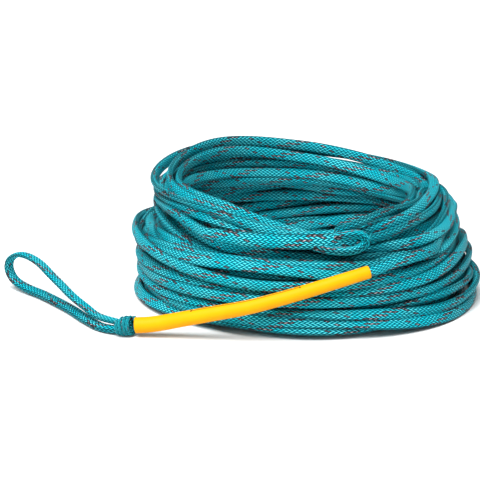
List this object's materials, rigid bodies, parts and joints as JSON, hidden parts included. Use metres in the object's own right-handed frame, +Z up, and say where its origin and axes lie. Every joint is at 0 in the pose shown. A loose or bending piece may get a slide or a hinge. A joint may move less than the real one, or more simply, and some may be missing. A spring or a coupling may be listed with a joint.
{
  "type": "tow rope with handle eye",
  "caption": "Coiled flat-braid tow rope with a spliced eye at each end, the near one in a tapered sleeve.",
  "frame": {"origin": "centre of the bounding box on the floor plane the coil rests on", "axes": "+X along the longest side, from the eye towards the coil; +Y towards the back of the coil; +Z up, through the coil"},
  "size_m": [0.4026, 0.3024, 0.1121],
  "materials": {
    "teal_braid": "flat hollow diamond braid of polyolefin yarn, teal with charcoal tracer yarns, slight sheen",
    "yellow_sleeve": "smooth satin yellow tube"
  },
  "bodies": {
    "coil": {"coil_lower_turns": "teal_braid", "coil_upper_turns": "teal_braid", "lead_line": "teal_braid", "far_spliced_line": "teal_braid", "far_buried_tail": "teal_braid", "far_lock": "teal_braid", "far_eye_loop": "teal_braid"},
    "sleeve": {"splice_sleeve": "yellow_sleeve", "spliced_line": "teal_braid", "buried_tail": "teal_braid", "throat_lock": "teal_braid"},
    "eye": {"eye_loop": "teal_braid"}
  },
  "joints": [
    {"name": "sleeve_swing", "type": "hinge", "parent": "coil", "child": "sleeve", "pos_m": [0.1096, -0.1348, 0.0579], "axis": [0, 0, 1], "range_deg": [0, 40]},
    {"name": "eye_swing", "type": "hinge", "parent": "sleeve", "child": "eye", "pos_m": [-0.0992, -0.1252, 0.0093], "axis": [0, 0, 1], "range_deg": [-30, 60]}
  ]
}
